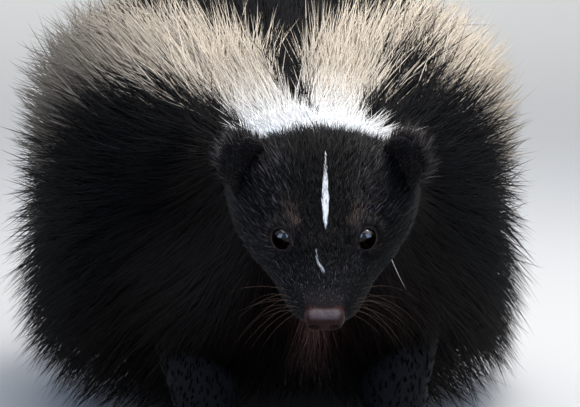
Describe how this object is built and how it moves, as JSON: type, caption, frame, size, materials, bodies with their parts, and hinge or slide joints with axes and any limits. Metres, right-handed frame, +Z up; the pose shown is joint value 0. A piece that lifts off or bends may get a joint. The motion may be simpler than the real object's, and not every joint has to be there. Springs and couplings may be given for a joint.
{
  "type": "striped skunk model",
  "caption": "Life-size still striped skunk standing with lowered head, long black coat, white nape and side stripes and a low bushy tail.",
  "frame": {"origin": "on the floor, under the middle of the model's outline box", "axes": "-Y the way the animal faces, +X its left side, +Z up"},
  "size_m": [0.2518, 0.7242, 0.2116],
  "materials": {
    "dark_fur": "near-black coat with a faint blue sheen",
    "white_fur": "creamy white coat",
    "nose_leather": "moist bare nose, mauve brown",
    "eye": "wet dark brown eye",
    "claw": "pale horn"
  },
  "bodies": {
    "root": {"head": "dark_fur", "lower_jaw": "dark_fur", "nose": "nose_leather", "blaze": "white_fur", "ear_left": "dark_fur", "ear_right": "dark_fur", "eye_left": "eye", "eye_right": "eye", "nape_cap": "white_fur", "stripe_left": "white_fur", "stripe_right": "white_fur", "neck": "dark_fur", "torso": "dark_fur", "tail_base": "dark_fur", "tail_plume": "dark_fur", "foreleg_left": "dark_fur", "claw_foreleg_left_1": "claw", "claw_foreleg_left_2": "claw", "claw_foreleg_left_3": "claw", "claw_foreleg_left_4": "claw", "claw_foreleg_left_5": "claw", "foreleg_right": "dark_fur", "claw_foreleg_right_1": "claw", "claw_foreleg_right_2": "claw", "claw_foreleg_right_3": "claw", "claw_foreleg_right_4": "claw", "claw_foreleg_right_5": "claw", "hindleg_left": "dark_fur", "claw_hindleg_left_1": "claw", "claw_hindleg_left_2": "claw", "claw_hindleg_left_3": "claw", "claw_hindleg_left_4": "claw", "claw_hindleg_left_5": "claw", "hindleg_right": "dark_fur", "claw_hindleg_right_1": "claw", "claw_hindleg_right_2": "claw", "claw_hindleg_right_3": "claw", "claw_hindleg_right_4": "claw", "claw_hindleg_right_5": "claw"}
  },
  "joints": []
}
